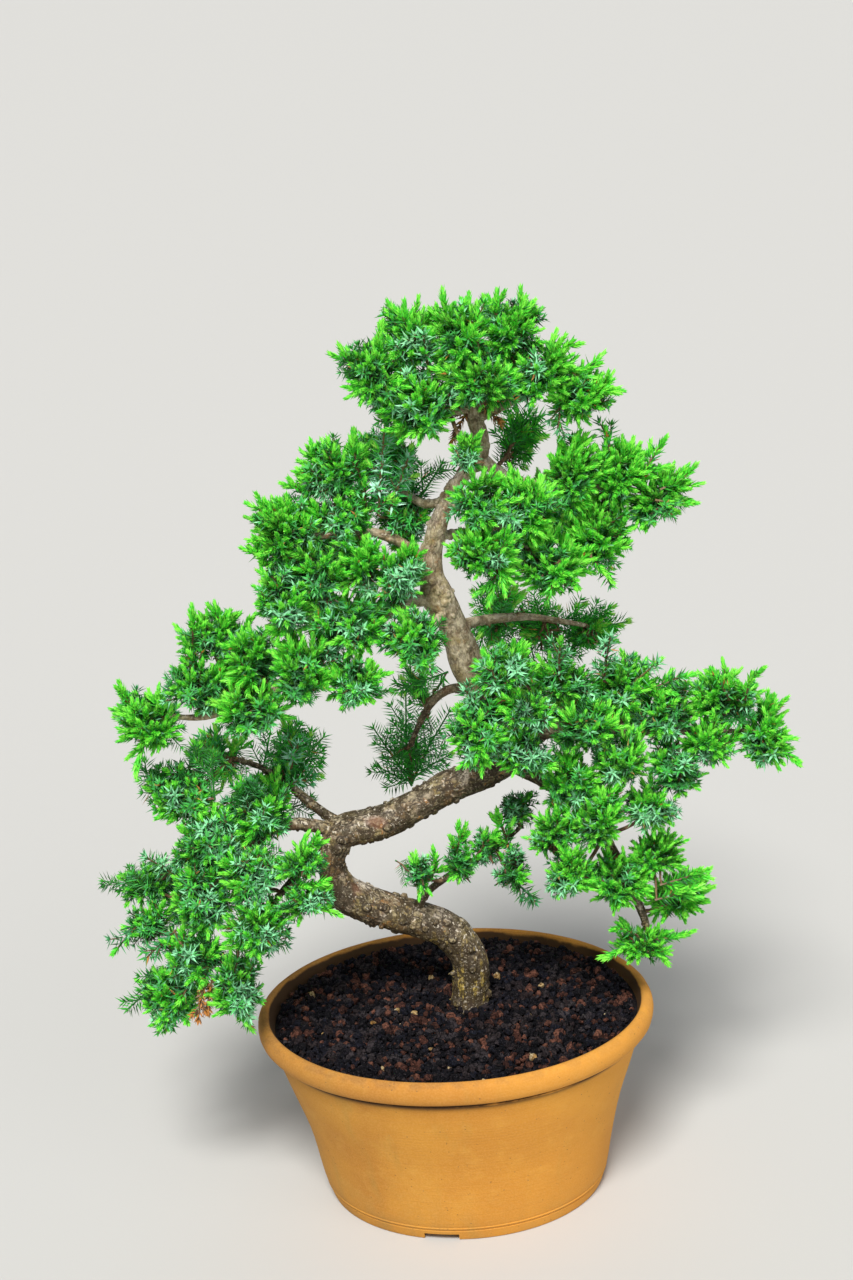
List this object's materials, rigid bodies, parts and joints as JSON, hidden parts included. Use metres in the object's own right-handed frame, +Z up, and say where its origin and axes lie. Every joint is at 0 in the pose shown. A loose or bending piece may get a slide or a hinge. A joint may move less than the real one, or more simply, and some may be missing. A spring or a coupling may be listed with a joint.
{
  "type": "potted bonsai tree",
  "caption": "Juniper bonsai with an S-bent trunk and tiers of short-needled foliage, growing in an oval unglazed terracotta pot filled with dark granular soil.",
  "frame": {"origin": "centre of the pot's foot, on the surface that the pot stands on", "axes": "+Z up; +X along the pot's long side, to the right seen from the front; -Y is the front, the side from which the trunk's S-bend reads"},
  "size_m": [0.4198, 0.1996, 0.5567],
  "materials": {
    "terracotta": "matte unglazed orange earthenware, with faint throwing lines and green-brown stains",
    "soil": "coarse dry granules, mostly near-black, some red-brown and a few tan",
    "bark": "rough grey-brown juniper bark with ochre patches, knobs and pruning scars",
    "twig_bark": "thin scaly brown bark",
    "screen_plastic": "black moulded mesh",
    "needles_bright": "satin green needles with bright yellow-green growing tips",
    "needles_blue_green": "satin blue-green older needles with a pale waxy line",
    "needles_shaded": "satin deep green needles of the shaded inner and rear growth"
  },
  "bodies": {
    "root": {"pot": "terracotta", "drain_screen_left": "screen_plastic", "drain_screen_right": "screen_plastic", "soil_bed": "soil", "trunk": "bark", "branch_apex_left": "twig_bark", "branch_apex_right": "twig_bark", "branch_centre_left": "twig_bark", "branch_centre_rear": "twig_bark", "branch_left_low": "twig_bark", "branch_left_low_front": "twig_bark", "branch_left_low_rear": "twig_bark", "branch_left_mid": "twig_bark", "branch_left_upper": "twig_bark", "branch_left_upper_rear": "twig_bark", "branch_low_twig": "twig_bark", "branch_mid_front": "twig_bark", "branch_rear_mid": "twig_bark", "branch_rear_upper": "twig_bark", "branch_right_low": "twig_bark", "branch_right_mid": "twig_bark", "branch_right_mid_rear": "twig_bark", "branch_right_upper": "twig_bark", "branch_right_upper_front": "twig_bark", "foliage_apex_crown": "needles_bright", "foliage_apex_left": "needles_bright", "foliage_apex_rear": "needles_shaded", "foliage_apex_right": "needles_bright", "foliage_centre_left": "needles_blue_green", "foliage_centre_rear": "needles_shaded", "foliage_left_low": "needles_blue_green", "foliage_left_low_drop": "needles_blue_green", "foliage_left_low_front": "needles_blue_green", "foliage_left_low_outer": "needles_blue_green", "foliage_left_low_rear": "needles_shaded", "foliage_left_low_upper": "needles_blue_green", "foliage_left_mid": "needles_bright", "foliage_left_mid_front": "needles_bright", "foliage_left_mid_tip": "needles_bright", "foliage_left_mid_upper": "needles_bright", "foliage_left_upper": "needles_bright", "foliage_left_upper_low": "needles_blue_green", "foliage_left_upper_rear": "needles_shaded", "foliage_low_twig": "needles_blue_green", "foliage_rear_left": "needles_shaded", "foliage_rear_left_low": "needles_shaded", "foliage_rear_mid": "needles_shaded", "foliage_rear_upper": "needles_shaded", "foliage_right_low_front": "needles_bright", "foliage_right_low_inner": "needles_bright", "foliage_right_low_outer": "needles_bright", "foliage_right_low_tip": "needles_bright", "foliage_right_low_upper": "needles_bright", "foliage_right_mid_inner": "needles_bright", "foliage_right_mid_outer": "needles_bright", "foliage_right_mid_rear": "needles_shaded", "foliage_right_mid_top": "needles_blue_green", "foliage_right_upper_front": "needles_bright", "foliage_right_upper_low": "needles_bright", "foliage_right_upper_outer": "needles_bright"}
  },
  "joints": []
}
